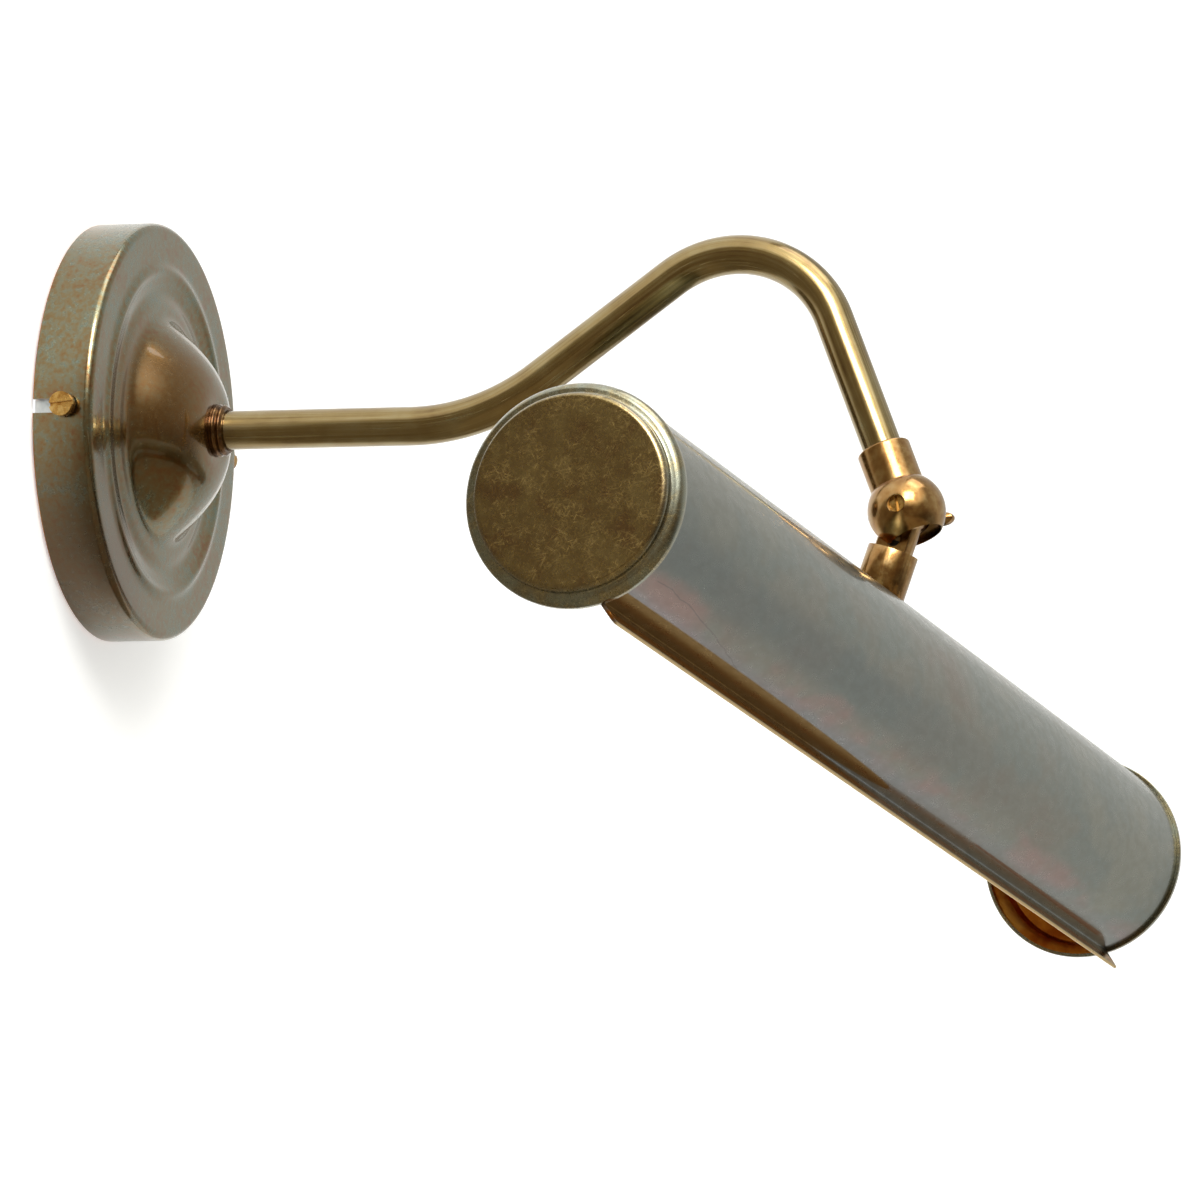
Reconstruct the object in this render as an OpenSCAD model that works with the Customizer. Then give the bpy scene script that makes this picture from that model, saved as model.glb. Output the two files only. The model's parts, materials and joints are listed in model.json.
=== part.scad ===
// Twin-lamp picture light: spun rose, swan-neck arm, slotted ball knuckle and trough shade.
// The origin is the centre of the wall plane, +Y runs into the wall and +Z is up.

/* [Rose] */
// Diameter of the spun rose
rose_d = 102; // [95:1:110]
// Depth of the rose's straight rim
rose_depth = 15; // [14:0.5:18]
// Thickness of the spun sheet
rose_wall = 1.2; // [1:0.1:1.5]
// Height of the bell above the rose's face
bell_h = 13.8; // [12:0.1:15]
// Turn of the fixing screws out of the horizontal
bracket_turn = 5.8; // [0:0.1:8]
// Spacing of the two wall holes
wall_hole_spacing = 60; // [56:1:62]
// Diameter of the wall holes
wall_hole_d = 4.5; // [4:0.1:5]

/* [Arm] */
// Outside diameter of the arm tube
tube_d = 9.5; // [9:0.1:10]
// Wall of the arm tube
tube_wall = 1; // [0.8:0.1:1.2]
// Distance from the wall to the first bend
reach_1 = 78.75; // [70:0.25:90]
// Centreline radius of the first bend
bend_r1 = 53.7; // [45:0.1:60]
// Rise of the arm after the first bend
rise_angle = 37.1; // [30:0.1:45]
// Straight between the two bends
reach_2 = 40.2; // [30:0.1:50]
// Centreline radius of the second bend
bend_r2 = 27.3; // [24:0.1:32]
// Turn of the second bend
drop_turn = 103.9; // [90:0.1:110]
// Distance from the second bend to the ball's centre
reach_3 = 52.1; // [48:0.1:60]

/* [Knuckle] */
// Diameter of the ball
ball_d = 18.8; // [18:0.1:20]
// Diameter of the bore in the ball
ball_bore_d = 12.9; // [12.5:0.1:13.5]
// Diameter of the collar that takes the tube
socket_d = 13; // [12.5:0.1:14]
// Distance from the ball's centre to the top of that collar
socket_top = 16.8; // [15:0.1:18]
// Thickness of the swivel's tongue
tongue_t = 5.8; // [5:0.1:6.4]
// Width of the swivel's neck
neck_w = 9.4; // [8.5:0.1:10]
// Diameter of the swivel's collar
stem_d = 12.4; // [12:0.1:13]
// Distance from the ball's centre to the swivel's collar
stem_start = 10.2; // [9.9:0.1:11]
// Lean of the stem away from straight down, towards the wall
stem_tilt = 16.5; // [10:0.5:20]
// Distance from the ball's centre to the shade's axis
stem_reach = 45; // [43:0.5:50]

/* [Shade] */
// Outside diameter of the trough
shade_d = 49.7; // [48:0.1:52]
// Sheet thickness of the trough and its caps
sheet = 0.8; // [0.7:0.05:1]
// Length of the trough that shows between the caps
shade_l = 410.2; // [380:0.1:430]
// Angle from the stem round to the front lip
front_lip = 148.5; // [140:0.5:155]
// Angle from the stem round to the plain rear edge
rear_edge = 96.5; // [85:0.5:110]
// Width of the out-turned lip
lip_w = 5.9; // [4:0.1:7]
// Lean of the lip back over the trough
lip_lean = 21.5; // [0:0.5:30]
// Outside diameter of the end caps
cap_d = 51.4; // [50.8:0.1:53]
// Depth of the end caps
cap_h = 5.8; // [5:0.1:7]

/* [Lamps] */
// Diameter of the tubular lamps
lamp_d = 25; // [22:0.5:28]
// Length of each lamp's glass
lamp_l = 100; // [80:1:120]
// Outside diameter of the lampholders
holder_d = 25.6; // [24:0.2:28]
// Length of the lampholders
holder_l = 27; // [25:0.5:30]

/* [Hidden] */
$fn = 72;
gap = 0.05;          // running clearance on a radius
over = 1;            // how far a cutter runs past what it cuts
rose_r = rose_d / 2;
rim_corner = 2;
tube_r = tube_d / 2;
tube_bore = tube_r - tube_wall;
drop_angle = rise_angle - drop_turn;
ball_r = ball_d / 2;
bore_r = ball_bore_d / 2;
shade_r = shade_d / 2;
cap_r = cap_d / 2;
cap_edge = shade_l / 2 + 0.1;
cap_face = cap_edge + cap_h;
screw_r = 2;
hole_r = screw_r + gap;
hole_side_y = 11;    // depth of the screw that goes through a plain hole
slot_side_y = 8.5;   // depth of the screw that the open slot hooks over
rose_top = rose_depth + bell_h;
strip_t = 1.5;
strip_w = 18;
ear_w = 12;
ear_h = 13.2;
ear_face = 49.1;     // outer face of the bracket's ears
leg_x = 13;          // outer face of the lamp bracket's legs
leg_t = 1.2;
base_z = 22.9;       // top of the lamp bracket, measured from the shade's axis
tail_r = 4;
flex_r = 2.4;
lead_r = 1.5;
holder_end = leg_x + holder_l;
lamp_start = 18.6;   // back end of a lamp's screw cap
cap_l = 17;
brass = "#8a6a3c";
patina = "#7b776b";
steel = "#c9cccd";

// Ends of the arm's straights and the centres of its bends, as [out from the wall, up].
function turn(a) = [cos(a), sin(a)];
bend_1 = [reach_1, bend_r1];
p1 = bend_1 + bend_r1 * turn(rise_angle - 90);
p2 = p1 + reach_2 * turn(rise_angle);
bend_2 = p2 + bend_r2 * turn(rise_angle - 90);
p3 = bend_2 + bend_r2 * turn(drop_angle + 90);
ball = p3 + reach_3 * turn(drop_angle);
shade_axis = [ball.x - stem_reach * sin(stem_tilt), ball.y - stem_reach * cos(stem_tilt)];

// Points on an arc, both ends included.
function arc(c, r, a0, a1, n = 8) = [for (i = [0:n]) c + r * turn(a0 + (a1 - a0) * i / n)];

// Height of the rose's face at a radius: a soft ridge, a shallow moat and the bell.
bell_foot = 27.4;
bell_crown = 7.8;
face_steps = 34;
function bump(r, at, wide) = exp(-pow((r - at) / wide, 2));
function bell(r) =
    let (u = min(1, max(0, (bell_foot - r) / (bell_foot - bell_crown))))
    bell_h * sin(90 * pow(u, 0.95));
function face(r) = rose_depth + 0.7 * bump(r, 39.4, 1.5) - 0.7 * bump(r, 34, 2.4) + bell(r);
function face_r(i) = rose_r - 5 - (rose_r - 5 - tube_r - gap) * i / face_steps;

// Local frames: the arm's plane is [out, up], and the shade's frame has its stem along +Z.
module arm_plane() rotate([90, 0, -90]) children();
module along_y(from) translate([0, -from, 0]) rotate([90, 0, 0]) children();
module bracket_frame() rotate([0, -bracket_turn, 0]) children();
module knuckle_frame() translate([0, -ball.x, ball.y]) rotate([-90 - drop_angle, 0, 0]) children();
module shade_frame() translate([0, -shade_axis.x, shade_axis.y]) rotate([stem_tilt, 0, 0]) children();
module along_x(from = 0) translate([from, 0, 0]) rotate([0, 90, 0]) children();
module both_sides() for (s = [0, 1]) mirror([s, 0, 0]) children();
module side(s) mirror([s == "right" ? 0 : 1, 0, 0]) children();
module ring(r_out, r_in, h) difference() {
    cylinder(r = r_out, h = h);
    translate([0, 0, -over]) cylinder(r = r_in, h = h + 2 * over);
}
module hex_nut(flats, r_in, h) difference() {
    cylinder(d = flats / cos(30), h = h, $fn = 6);
    translate([0, 0, -over]) cylinder(r = r_in, h = h + 2 * over);
}

// A solid or hollow run along the arm's centreline, from a start near the wall to an end near the
// ball. Each stretch is placed from the end of the one before it. The bends are a hair thinner
// than the straights and run a little way into them, which makes the whole run one solid.
bend_inset = 0.05;
bend_lap = 0.5;      // in degrees
module run(start, end, r_out, r_in = 0) {
    module section(inset = 0) difference() {
        circle(r_out - inset);
        if (r_in > 0) circle(r_in + inset);
    }
    module straight(l) rotate([0, 90, 0]) linear_extrude(l) section();
    module bend(r, a) {
        translate([0, r, 0]) rotate([0, 0, -90 - bend_lap]) rotate_extrude(angle = a + 2 * bend_lap)
            translate([r, 0]) section(bend_inset);
        translate([0, r, 0]) rotate([0, 0, a]) translate([0, -r, 0]) children();
    }
    arm_plane() {
        translate([start, 0, 0]) straight(reach_1 - start);
        translate([reach_1, 0, 0]) bend(bend_r1, rise_angle) {
            straight(reach_2);
            translate([reach_2, 0, 0]) mirror([0, 1, 0]) bend(bend_r2, drop_turn) straight(reach_3 - end);
        }
    }
}

// A slotted cheese head, its shank pointing down -Z.
module cheese_screw(head_r, head_h, shank_r, shank_l) {
    difference() {
        cylinder(r = head_r, h = head_h);
        translate([-head_r - over, -0.45, head_h - 1]) cube([2 * (head_r + over), 0.9, 1 + over]);
    }
    translate([0, 0, -shank_l]) cylinder(r = shank_r, h = shank_l);
}

// ---- Wall side ----
module wall_bracket() color(steel) bracket_frame() difference() {
    union() {
        translate([-ear_face, -strip_t, -strip_w / 2]) cube([2 * ear_face, strip_t, strip_w]);
        both_sides() translate([ear_face - strip_t, -ear_h, -ear_w / 2]) cube([strip_t, ear_h, ear_w]);
    }
    both_sides() translate([ear_face - 6, -2 * over, ear_w / 2]) cube([6 + over, 4, strip_w]);
    both_sides() translate([ear_face - 6, -2 * over, -ear_w / 2 - strip_w]) cube([6 + over, 4, strip_w]);
    both_sides() translate([wall_hole_spacing / 2, over, 0]) rotate([90, 0, 0])
        cylinder(d = wall_hole_d, h = strip_t + 2 * over);
    translate([0, over, 0]) rotate([90, 0, 0]) cylinder(r = 5, h = strip_t + 2 * over);
    translate([-18, over, 0]) rotate([90, 0, 0]) cylinder(r = hole_r, h = strip_t + 2 * over);
    translate([-ear_face - over, -slot_side_y, 0]) rotate([0, 90, 0]) cylinder(r = hole_r, h = 5);
    translate([ear_face - 3, -hole_side_y, 0]) rotate([0, 90, 0]) cylinder(r = hole_r, h = 5);
}

module earth_screw() color(brass) bracket_frame() translate([-18, -strip_t, 0]) rotate([90, 0, 0]) {
    ring(4.4, hole_r, 0.8);
    translate([0, 0, 0.8]) cheese_screw(3.5, 2.4, screw_r, 0.8 + strip_t);
}

block_x = 7.2;
block_pitch = 6;
module terminal_block() color("white") bracket_frame() difference() {
    translate([block_x, -12.5, -8]) cube([3 * block_pitch, 11, 16]);
    for (i = [0:2]) translate([block_x + block_pitch * (i + 0.5), 0, 0]) {
        translate([0, -7.5, -8 - over]) cylinder(r = 1.6, h = 16 + 2 * over);
        for (z = [-4.6, 4.6]) translate([0, -7.5, z]) rotate([90, 0, 0]) cylinder(r = 1.55, h = 6);
    }
}

module terminal_screws() color(steel) bracket_frame()
    for (i = [0:2], z = [-4.6, 4.6])
        translate([block_x + block_pitch * (i + 0.5), -9.2, z]) rotate([90, 0, 0]) difference() {
            cylinder(r = 1.5, h = 2.6);
            translate([-2, -0.25, 2]) cube([4, 0.5, 1]);
        }

module rose_cover() color(patina) difference() {
    rotate([90, 0, 0]) rotate_extrude() polygon(concat(
        [[rose_r, 0]],
        arc([rose_r - rim_corner, rose_depth - rim_corner], rim_corner, 0, 90),
        [for (i = [0:face_steps]) [face_r(i), face(face_r(i))]],
        [for (i = [face_steps:-1:0]) [face_r(i), face(face_r(i)) - rose_wall]],
        [[rose_r - rim_corner, rose_depth - rose_wall],
         [rose_r - rose_wall, rose_depth - rim_corner],
         [rose_r - rose_wall, 0]]
    ));
    bracket_frame() {
        translate([-rose_r - over, -slot_side_y, 0]) {
            rotate([0, 90, 0]) cylinder(r = hole_r, h = 5);
            translate([0, 0, -1.7]) cube([5, slot_side_y + over, 3.4]);
        }
        translate([rose_r - 4, -hole_side_y, 0]) rotate([0, 90, 0]) cylinder(r = hole_r, h = 5);
    }
}

rose_screw_gap = 0.9;
module rose_screws() {
    module screw() cheese_screw(2.95, 2.6, screw_r, 8);
    color(brass) bracket_frame() {
        translate([-rose_r - rose_screw_gap, -slot_side_y, 0]) rotate([0, -90, 0]) rotate([0, 0, 96]) screw();
        translate([rose_r + rose_screw_gap, -hole_side_y, 0]) rotate([0, 90, 0]) rotate([0, 0, 60]) screw();
    }
}

module arm_collar() color(brass) along_y(rose_top) {
    ring(6.5, tube_r + gap, 1.2);
    translate([0, 0, 1.2]) ring(6.05, tube_r + gap, 0.4);
    translate([0, 0, 1.6]) ring(6.3, tube_r + gap, 1.2);
}

washer_t = 1;
nut_t = 3;
module arm_washer() color(brass) along_y(rose_top - rose_wall - washer_t) ring(7, tube_r + gap, washer_t);
module arm_locknut() color(brass)
    along_y(rose_top - rose_wall - washer_t - nut_t) hex_nut(14, tube_r + gap, nut_t);

tube_start = 18;
tube_end = 9;        // distance short of the ball's centre
module arm_tube() color(brass) run(tube_start, tube_end, tube_r, tube_bore);

module tube_bush() color("ivory") along_y(tube_start - 1.2) {
    ring(tube_r, flex_r + gap, 1.2);
    translate([0, 0, 1.2]) ring(tube_bore - gap, flex_r + gap, 3);
}

flex_bend = 6;
flex_plane_y = 8;    // distance from the wall to the flex where it enters the block
module arm_flex() color("black") {
    run(flex_plane_y + flex_bend, 6.3, flex_r);
    bracket_frame() translate([flex_bend, -flex_plane_y - flex_bend, 0])
        rotate([0, 0, 90]) rotate_extrude(angle = 90) translate([flex_bend, 0]) circle(flex_r);
    bracket_frame() translate([flex_bend, -flex_plane_y, 0]) rotate([0, 90, 0])
        cylinder(r = flex_r, h = block_x - flex_bend);
}

// ---- Knuckle; in its frame the tube's axis is Z and the tube comes from +Z ----
swing_wall = 66;     // furthest lean of the swivel towards the wall, from the tube's axis
module knuckle_socket() color(brass) knuckle_frame() difference() {
    union() {
        sphere(r = ball_r, $fn = 96);
        cylinder(d = socket_d, h = socket_top - 0.4);
        translate([0, 0, socket_top - 0.4]) cylinder(d1 = socket_d, d2 = socket_d - 0.8, h = 0.4);
    }
    translate([0, 0, tube_end]) cylinder(r = tube_r + gap / 2, h = socket_top);
    cylinder(r = flex_r + 0.2, h = socket_top);
    translate([0, 0, -ball_d]) cylinder(r = bore_r, h = ball_d + 6);
    translate([-ball_d, 0, 0]) rotate([0, 90, 0]) cylinder(r = hole_r, h = 2 * ball_d);
    rotate([swing_wall - 90, 0, 0]) translate([-tongue_t / 2 - 0.15, 0, neck_w / 2 + 0.2 - ball_d])
        cube([tongue_t + 0.3, ball_d, ball_d]);
}

module pivot_screw() color(brass) knuckle_frame() along_x(-7.7) difference() {
    cylinder(r = screw_r, h = 7.7 + 14.8);
    rotate([0, 0, 12]) translate([-3, -0.35, -over]) cube([6, 0.7, 1 + over]);
}

module friction_bushes() color(steel) knuckle_frame() intersection() {
    both_sides() along_x(tongue_t / 2 + gap) ring(3.5, hole_r, 5);
    cylinder(r = bore_r - gap, h = 3 * ball_d, center = true);
}

wing_x = 9.6;        // inner end of the wing nut's boss
wing_lean = 10;
module wing_nut() color(brass) knuckle_frame() rotate([drop_angle + 80, 0, 0]) difference() {
    union() {
        along_x(wing_x) cylinder(r1 = 3.9, r2 = 3.2, h = 3.6);
        for (s = [0, 1]) mirror([0, s, 0]) translate([wing_x + 0.7, 2, -1.7]) rotate([0, 0, -wing_lean])
            cube([3.6, 6.8, 3.4]);
    }
    along_x(wing_x - over) cylinder(r = hole_r, h = 9);
}

// ---- Shade side; in its frame the stem is +Z and the trough's axis is X ----
module swivel_stem() color(brass) shade_frame() difference() {
    union() {
        translate([-tongue_t / 2, 0, stem_reach]) rotate([0, 90, 0]) cylinder(r = 5.6, h = tongue_t);
        translate([0, 0, stem_reach - stem_start - 1]) linear_extrude(stem_start + 1) intersection() {
            square([tongue_t, neck_w], center = true);
            circle(d = neck_w, $fn = 48);
        }
        translate([0, 0, shade_r - 2]) cylinder(d = stem_d, h = stem_reach - stem_start - shade_r + 2);
        translate([0, 0, 16.6]) cylinder(r = tail_r, h = 12);
    }
    difference() {
        translate([0, 0, shade_r - 3]) ring(stem_d, tail_r, 3);
        difference() {
            translate([0, 0, shade_r - 4]) cylinder(d = stem_d + 1, h = 5);
            rotate([0, 90, 0]) cylinder(r = shade_r + gap / 2, h = 2 * stem_d, center = true, $fn = 96);
        }
    }
    translate([-tongue_t, 0, stem_reach]) rotate([0, 90, 0]) cylinder(r = hole_r, h = 2 * tongue_t);
    translate([0, 0, 16.6 - over]) cylinder(r = lead_r + 0.3, h = stem_reach - 7.6 - 16.6 + over);
    translate([-tongue_t, 0, stem_reach - 7.6]) rotate([0, 90, 0]) cylinder(r = lead_r + 0.3, h = 2 * tongue_t);
}

module stem_washer() color(brass) shade_frame()
    translate([0, 0, base_z - leg_t - 1]) ring(7, tail_r + gap, 1);
module stem_nut() color(brass) shade_frame()
    translate([0, 0, base_z - leg_t - 4]) hex_nut(12, tail_r + gap, 3);

// Outline of the lip that stands out from the trough's front edge.
module lip() rotate([0, 0, front_lip]) translate([0, shade_r - sheet]) rotate([0, 0, -lip_lean])
    translate([-sheet / 2, 0]) square([sheet, lip_w + sheet]);

module shade_trough() color(patina) shade_frame() difference() {
    union() {
        rotate([90, 0, 90]) linear_extrude(2 * (cap_edge + 1.9), center = true) difference() {
            circle(r = shade_r, $fn = 120);
            circle(r = shade_r - sheet, $fn = 120);
            polygon(concat([[0, 0]], arc([0, 0], 2 * shade_r, 90 + front_lip, 450 - rear_edge, 8)));
        }
        rotate([90, 0, 90]) linear_extrude(shade_l, center = true) lip();
    }
    translate([0, 0, shade_r - 5]) cylinder(r = tail_r + gap, h = 8);
}

module end_cap() color(patina) shade_frame() along_x() rotate_extrude($fn = 120) polygon(concat(
    [[shade_r + gap, cap_edge], [cap_r, cap_edge]],
    arc([cap_r - 2.2, cap_edge + 1], 2.2, 0, 80, 7),
    [[cap_r - 2.9, cap_edge + 2.9], [cap_r - 3.2, cap_edge + 3.3]],
    arc([cap_r - 4.5, cap_face - 1.2], 1.2, 0, 90, 5),
    [[0, cap_face], [0, cap_face - sheet], [cap_r - 4.5, cap_face - sheet],
     [cap_r - 4.1, cap_edge + 2.4], [cap_r - 2.6, cap_edge + 2], [shade_r + gap, cap_edge + 2]]
));
module end_cap_left() mirror([1, 0, 0]) end_cap();
module end_cap_right() end_cap();

module lamp_bracket() color(steel) shade_frame() difference() {
    union() {
        translate([-leg_x, -7, base_z - leg_t]) cube([2 * leg_x, 14, leg_t]);
        both_sides() translate([leg_x - leg_t, -7, -9]) cube([leg_t, 14, base_z + 9]);
    }
    translate([0, 0, base_z - 5]) cylinder(r = tail_r + gap, h = 10);
    along_x(-2 * leg_x) cylinder(r = 3, h = 4 * leg_x);
    for (z = [-6.5, 6.5]) translate([0, 0, z]) along_x(-2 * leg_x) cylinder(r = 1.55, h = 4 * leg_x);
}

// Built on the +X side; side() mirrors what belongs on the left.
holder_back = 3;
module lampholder() color("#2b2522") shade_frame() along_x(leg_x) difference() {
    union() {
        cylinder(d = holder_d, h = holder_l - 8);
        translate([0, 0, holder_l - 8]) cylinder(d1 = holder_d, d2 = holder_d - 3, h = 8);
    }
    translate([0, 0, holder_back]) cylinder(r = 8.2, h = holder_l);
    translate([0, 0, -over]) cylinder(r = 3, h = holder_back + 2 * over);
    for (z = [-6.5, 6.5]) translate([z, 0, -over]) cylinder(r = 1.55, h = holder_back + 2 * over);
}
module lampholder_left() side("left") lampholder();
module lampholder_right() side("right") lampholder();

module thread_shell() color(brass) shade_frame() along_x(lamp_start + 1.5) ring(8.1, 7.1, 15);
module thread_shell_left() side("left") thread_shell();
module thread_shell_right() side("right") thread_shell();

module holder_contacts() color(brass) shade_frame() both_sides()
    along_x(leg_x + holder_back + 0.1) ring(6, 3.2, 0.6);

module holder_screws() color(steel) shade_frame() both_sides() for (z = [-6.5, 6.5])
    translate([leg_x - leg_t, 0, z]) rotate([0, -90, 0]) cheese_screw(2.5, 1.6, 1.5, leg_t + holder_back);

module shade_flex() color("black") shade_frame() {
    drop = 8;
    translate([0, 0, drop]) cylinder(r = lead_r, h = stem_reach - 7.6 - drop);
    both_sides() translate([drop, 0, drop]) rotate([90, 0, 0]) rotate([0, 0, 180])
        rotate_extrude(angle = 90) translate([drop, 0]) circle(r = lead_r);
    both_sides() along_x(drop) cylinder(r = lead_r, h = leg_x + 2 - drop);
}

module lamp_cap() color(brass) shade_frame() along_x(lamp_start) {
    ring(6.95, 6.3, cap_l);
    translate([0, 0, -0.8]) cylinder(r1 = 4.5, r2 = 6.95, h = 1.4);
    translate([0, 0, -1.6]) cylinder(r = 2.4, h = 0.8);
}
module lamp_cap_left() side("left") lamp_cap();
module lamp_cap_right() side("right") lamp_cap();

neck_r = 6.25;
lamp_r = lamp_d / 2;
glass_t = 0.7;
glass_x0 = lamp_start + 10;
glass_x1 = holder_end + lamp_l;
function glass_outline(t) = concat(
    [[neck_r - t, glass_x0], [neck_r - t, holder_end + 1]],
    arc([lamp_r - t - 4, holder_end + 9], 4, -60, 0, 5),
    arc([lamp_r - 9, glass_x1 - 9], 9 - t, 0, 90, 8)
);
module lamp_glass() color("white", 0.6) shade_frame() along_x() rotate_extrude() polygon(concat(
    glass_outline(0), [[0, glass_x1], [0, glass_x1 - glass_t]],
    [for (i = [len(glass_outline(0)) - 1:-1:0]) glass_outline(glass_t)[i]]
));
module lamp_glass_left() side("left") lamp_glass();
module lamp_glass_right() side("right") lamp_glass();

filament_x0 = lamp_start + 12;
filament_x1 = glass_x1 - 14;
module lamp_filament() color("silver") shade_frame() {
    along_x(filament_x0) cylinder(r1 = 4.5, r2 = 1.6, h = 12);
    along_x(filament_x0 + 12) cylinder(r = 1.6, h = 10);
    for (y = [-3, 3]) translate([0, y, 0]) along_x(filament_x0 + 6) cylinder(r = 0.35, h = filament_x1 - filament_x0 - 6);
    for (x = [filament_x0 + 18, filament_x1 - 0.4])
        translate([x, -3.3, 0]) rotate([-90, 0, 0]) cylinder(r = 0.35, h = 6.6);
}
module lamp_filament_left() side("left") lamp_filament();
module lamp_filament_right() side("right") lamp_filament();

wall_bracket();
earth_screw();
terminal_block();
terminal_screws();
rose_cover();
rose_screws();
arm_collar();
arm_washer();
arm_locknut();
arm_tube();
tube_bush();
arm_flex();
knuckle_socket();
pivot_screw();
friction_bushes();
wing_nut();
swivel_stem();
stem_washer();
stem_nut();
shade_trough();
end_cap_left();
end_cap_right();
lamp_bracket();
lampholder_left();
lampholder_right();
thread_shell_left();
thread_shell_right();
holder_contacts();
holder_screws();
shade_flex();
lamp_cap_left();
lamp_cap_right();
lamp_glass_left();
lamp_glass_right();
lamp_filament_left();
lamp_filament_right();
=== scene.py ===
"""Looks for the picture light: detailed meshes and aged-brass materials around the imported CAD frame."""
import json
import math
import bmesh
import bpy
from mathutils import Matrix, Vector


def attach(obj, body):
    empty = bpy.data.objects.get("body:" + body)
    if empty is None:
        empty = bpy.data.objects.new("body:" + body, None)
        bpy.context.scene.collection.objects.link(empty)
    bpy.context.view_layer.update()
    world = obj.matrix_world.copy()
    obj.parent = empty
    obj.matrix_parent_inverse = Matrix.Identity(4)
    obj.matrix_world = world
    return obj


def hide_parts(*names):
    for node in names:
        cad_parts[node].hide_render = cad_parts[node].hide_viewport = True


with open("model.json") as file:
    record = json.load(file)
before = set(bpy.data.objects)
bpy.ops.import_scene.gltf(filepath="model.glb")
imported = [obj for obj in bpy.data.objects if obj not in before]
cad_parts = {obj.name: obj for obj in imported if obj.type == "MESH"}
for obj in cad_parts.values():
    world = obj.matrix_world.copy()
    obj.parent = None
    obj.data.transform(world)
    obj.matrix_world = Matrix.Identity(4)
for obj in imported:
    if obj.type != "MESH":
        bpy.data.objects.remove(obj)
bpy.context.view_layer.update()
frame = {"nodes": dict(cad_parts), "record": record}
NODES = frame["nodes"]
MM = 0.001

# ---- Dimensions, in millimetres and degrees, as in the CAD ----
ROSE_R, ROSE_DEPTH, ROSE_WALL, RIM_CORNER = 51.0, 15.0, 1.2, 2.0
BELL_H, BELL_FOOT, BELL_CROWN = 13.8, 27.4, 7.8
ROSE_TOP = ROSE_DEPTH + BELL_H
BRACKET_TURN, HOLE_Y, SLOT_Y, SLOT_W = 5.8, 11.0, 8.5, 3.4
TUBE_R, TUBE_BORE, TUBE_START, TUBE_END = 4.75, 3.75, 18.0, 9.0
REACH_1, BEND_R1, RISE, REACH_2, BEND_R2, DROP_TURN, REACH_3 = 78.75, 53.7, 37.1, 40.2, 27.3, 103.9, 52.1
BALL_R, BORE_R, SOCKET_R, SOCKET_TOP = 9.4, 6.45, 6.5, 16.8
TONGUE_T, NECK_W, STEM_TILT, STEM_REACH = 5.8, 9.4, 16.5, 45.0
SWING_WALL = 66.0
SHADE_R, SHEET, LIP_W, LIP_LEAN, FRONT_LIP, REAR_EDGE = 24.85, 0.8, 5.9, 21.5, 148.5, 96.5
SHADE_HALF = 205.1
CAP_R, CAP_EDGE, CAP_FACE = 25.7, 205.2, 211.0
DROP = RISE - DROP_TURN
HOLE_R, GAP = 2.05, 0.05
WING_X, WING_TURN = 9.6, 80.0


# ---- Frames ----
def turned(axis, degrees):
    return Matrix.Rotation(math.radians(degrees), 4, axis)


def moved(x, y, z):
    return Matrix.Translation((x * MM, y * MM, z * MM))


def heading(degrees):
    return Vector((math.cos(math.radians(degrees)), math.sin(math.radians(degrees))))


def arm_stretches():
    """Centres and ends of the arm's bends in its own plane, as (out from the wall, up)."""
    bend_1 = Vector((REACH_1, BEND_R1))
    p1 = bend_1 + BEND_R1 * heading(RISE - 90)
    p2 = p1 + REACH_2 * heading(RISE)
    bend_2 = p2 + BEND_R2 * heading(RISE - 90)
    p3 = bend_2 + BEND_R2 * heading(DROP + 90)
    return bend_1, p2, bend_2, p3


BALL = arm_stretches()[3] + REACH_3 * heading(DROP)
AXIS = BALL + STEM_REACH * Vector((-math.sin(math.radians(STEM_TILT)), -math.cos(math.radians(STEM_TILT))))
OUT = turned("X", 90)                     # local +Z points away from the wall
BRACKET = turned("Y", -BRACKET_TURN)
KNUCKLE = moved(0, -BALL.x, BALL.y) @ turned("X", -90 - DROP)
SHADE = moved(0, -AXIS.x, AXIS.y) @ turned("X", STEM_TILT)
RIGHT = SHADE @ turned("Y", 90)           # local +Z points along the shade, to the right
LEFT = SHADE @ Matrix.Scale(-1, 4, (1, 0, 0)) @ turned("Y", 90)


# ---- Mesh building ----
def arc(cx, cy, r, start, end, n=8):
    angles = [math.radians(start + (end - start) * i / n) for i in range(n + 1)]
    return [(cx + r * math.cos(a), cy + r * math.sin(a)) for a in angles]


def finish_mesh(name, bm, place, sharp=35):
    bmesh.ops.remove_doubles(bm, verts=bm.verts, dist=1e-4)
    bmesh.ops.dissolve_degenerate(bm, edges=bm.edges, dist=1e-5)
    bm.transform(place @ Matrix.Scale(MM, 4))
    bmesh.ops.recalc_face_normals(bm, faces=bm.faces)
    if bm.calc_volume(signed=True) < 0:
        bmesh.ops.reverse_faces(bm, faces=bm.faces)
    mesh = bpy.data.meshes.new(name)
    bm.to_mesh(mesh)
    bm.free()
    mesh.shade_smooth()
    mesh.set_sharp_from_angle(angle=math.radians(sharp))
    obj = bpy.data.objects.new(name, mesh)
    bpy.context.scene.collection.objects.link(obj)
    return obj


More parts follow.
